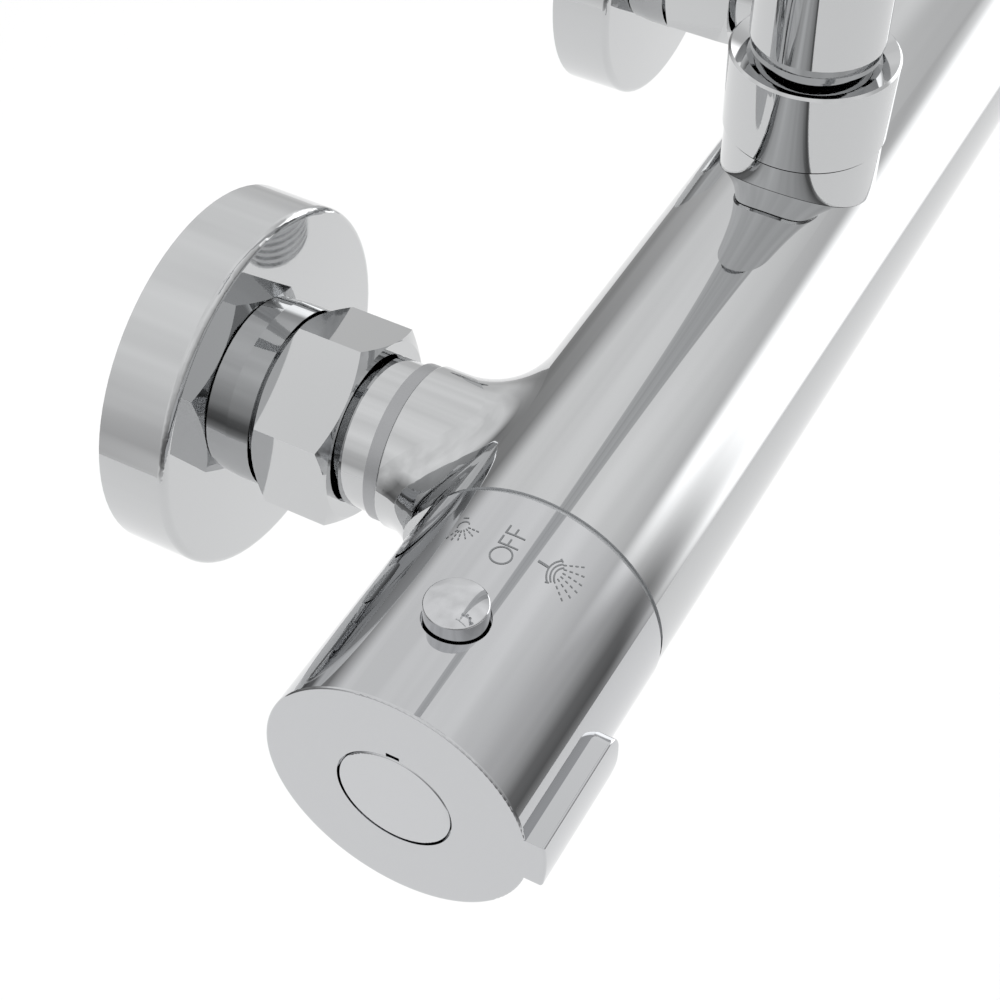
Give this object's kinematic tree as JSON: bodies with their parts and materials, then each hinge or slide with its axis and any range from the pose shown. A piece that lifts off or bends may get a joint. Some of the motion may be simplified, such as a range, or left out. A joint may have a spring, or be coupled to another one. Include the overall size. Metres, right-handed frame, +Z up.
{
  "type": "thermostatic shower column",
  "caption": "Chromed wall shower column: a thermostatic bar mixer with two lever-lugged round handles, a riser with a swivelling overhead shower, and a hand shower on a sliding holder.",
  "frame": {"origin": "on the wall, midway between the two inlets, level with the axis of the bar", "axes": "+X along the bar towards the temperature handle, +Y into the wall, +Z up"},
  "size_m": [0.2686, 0.5398, 1.087],
  "materials": {
    "chrome_brass": "polished",
    "chrome_zinc": "polished",
    "brass": "machined",
    "chrome_plastic": "chrome plated",
    "red_plastic": "gloss",
    "valve_plastic": "satin",
    "white_plastic": "satin",
    "grey_plastic": "satin",
    "disc_ceramic": "lapped",
    "spring_steel": "drawn",
    "wax_copper": "drawn",
    "rubber": "matt",
    "nozzle_rubber": "matt",
    "spray_plate": "satin"
  },
  "bodies": {
    "column": {"valve_body": "chrome_brass", "inlet_tails": "chrome_brass", "union_nuts": "chrome_brass", "filter_washers": "rubber", "s_connectors": "chrome_brass", "wall_flanges": "chrome_brass", "check_valves": "valve_plastic", "check_spring_left": "spring_steel", "check_spring_right": "spring_steel", "diverter_seal": "rubber", "diverter_fixed_disc": "disc_ceramic", "diverter_housing": "valve_plastic", "retaining_nuts": "brass", "stop_rings": "white_plastic", "o_rings": "rubber", "thermostat_housing": "valve_plastic", "thermostat_spring": "spring_steel", "glide_rings": "grey_plastic", "hose_outlet": "chrome_brass", "riser_socket": "chrome_brass", "riser_nut": "chrome_brass", "riser_tail": "chrome_brass", "riser_lower": "chrome_brass", "riser_joint": "chrome_brass", "riser_upper": "chrome_brass", "bracket_plate": "chrome_brass", "bracket_arm": "chrome_brass", "bracket_cover": "chrome_brass", "bracket_screw": "spring_steel"},
    "left_poppet": {"check_poppet_left": "valve_plastic"},
    "right_poppet": {"check_poppet_right": "valve_plastic"},
    "flow_handle": {"flow_handle": "chrome_zinc", "flow_handle_insert": "white_plastic", "flow_handle_screw": "spring_steel", "flow_index_cap": "chrome_plastic", "diverter_spindle": "brass", "diverter_moving_disc": "disc_ceramic", "eco_button_spring": "spring_steel"},
    "eco_button": {"eco_button": "chrome_plastic"},
    "temperature_handle": {"temperature_handle": "chrome_zinc", "temperature_handle_insert": "white_plastic", "temperature_handle_screw": "spring_steel", "temperature_index_cap": "chrome_plastic", "temperature_spindle": "brass", "safety_button_spring": "spring_steel"},
    "safety_button": {"safety_button": "red_plastic"},
    "thermostat": {"thermostat_shuttle": "valve_plastic", "wax_element": "wax_copper", "thermostat_adjuster": "valve_plastic"},
    "slider": {"slider": "chrome_plastic"},
    "knob": {"slider_knob": "chrome_plastic"},
    "cradle": {"handset_cradle": "chrome_plastic"},
    "handset": {"handset": "chrome_plastic", "handset_plate": "spray_plate", "handset_nozzles": "nozzle_rubber"},
    "ball": {"arm_ball": "chrome_brass"},
    "rose": {"ball_nut": "chrome_brass", "rose": "chrome_plastic", "rose_plate": "spray_plate", "rose_nozzles": "nozzle_rubber"}
  },
  "joints": [
    {"name": "flow_handle_turn", "type": "hinge", "parent": "column", "child": "flow_handle", "pos_m": [-0.114, -0.0688, 0], "axis": [1, 0, 0], "range_deg": [-90, 90]},
    {"name": "eco_button_press", "type": "slide", "parent": "flow_handle", "child": "eco_button", "axis": [0, 0, -1], "range_m": [0, 0.002], "stiffness_N_per_m": 400, "springref_m": -0.001, "deforming": ["eco_button_spring"]},
    {"name": "temperature_turn", "type": "hinge", "parent": "column", "child": "temperature_handle", "pos_m": [0.114, -0.0688, 0], "axis": [1, 0, 0], "range_deg": [-160, 45]},
    {"name": "safety_button_press", "type": "slide", "parent": "temperature_handle", "child": "safety_button", "axis": [0, 0, -1], "range_m": [0, 0.002], "stiffness_N_per_m": 400, "springref_m": -0.001, "deforming": ["safety_button_spring"]},
    {"name": "thermostat_slide", "type": "slide", "parent": "column", "child": "thermostat", "axis": [1, 0, 0], "range_m": [-0.00095, 0.0003], "deforming": ["thermostat_spring"]},
    {"name": "check_valve_left_open", "type": "slide", "parent": "column", "child": "left_poppet", "axis": [0, -1, 0], "range_m": [0, 0.003], "stiffness_N_per_m": 60, "springref_m": -0.002, "deforming": ["check_spring_left"]},
    {"name": "check_valve_right_open", "type": "slide", "parent": "column", "child": "right_poppet", "axis": [0, -1, 0], "range_m": [0, 0.003], "stiffness_N_per_m": 60, "springref_m": -0.002, "deforming": ["check_spring_right"]},
    {"name": "slider_slide", "type": "slide", "parent": "column", "child": "slider", "axis": [0, 0, 1], "range_m": [-0.24, 0.13]},
    {"name": "slider_knob_turn", "type": "hinge", "parent": "slider", "child": "knob", "pos_m": [0.012, -0.0998, 0.4], "axis": [1, 0, 0], "range_deg": [0, 180]},
    {"name": "cradle_tilt", "type": "hinge", "parent": "slider", "child": "cradle", "pos_m": [0, -0.0998, 0.4], "axis": [1, 0, 0], "range_deg": [-20, 50]},
    {"name": "handset_lift", "type": "slide", "parent": "cradle", "child": "handset", "axis": [0, -0.2588, 0.9659], "range_m": [0, 0.06]},
    {"name": "overhead_swivel", "type": "hinge", "parent": "column", "child": "ball", "pos_m": [0, -0.4188, 0.96], "axis": [0, 0, 1], "range_deg": [-180, 180]},
    {"name": "overhead_tilt", "type": "hinge", "parent": "ball", "child": "rose", "pos_m": [0, -0.4188, 0.96], "axis": [1, 0, 0], "range_deg": [-15, 15]}
  ],
  "couplings": [
    {"joint": "thermostat_slide", "follows": "temperature_turn", "m_per_rad": 0.00031831}
  ]
}
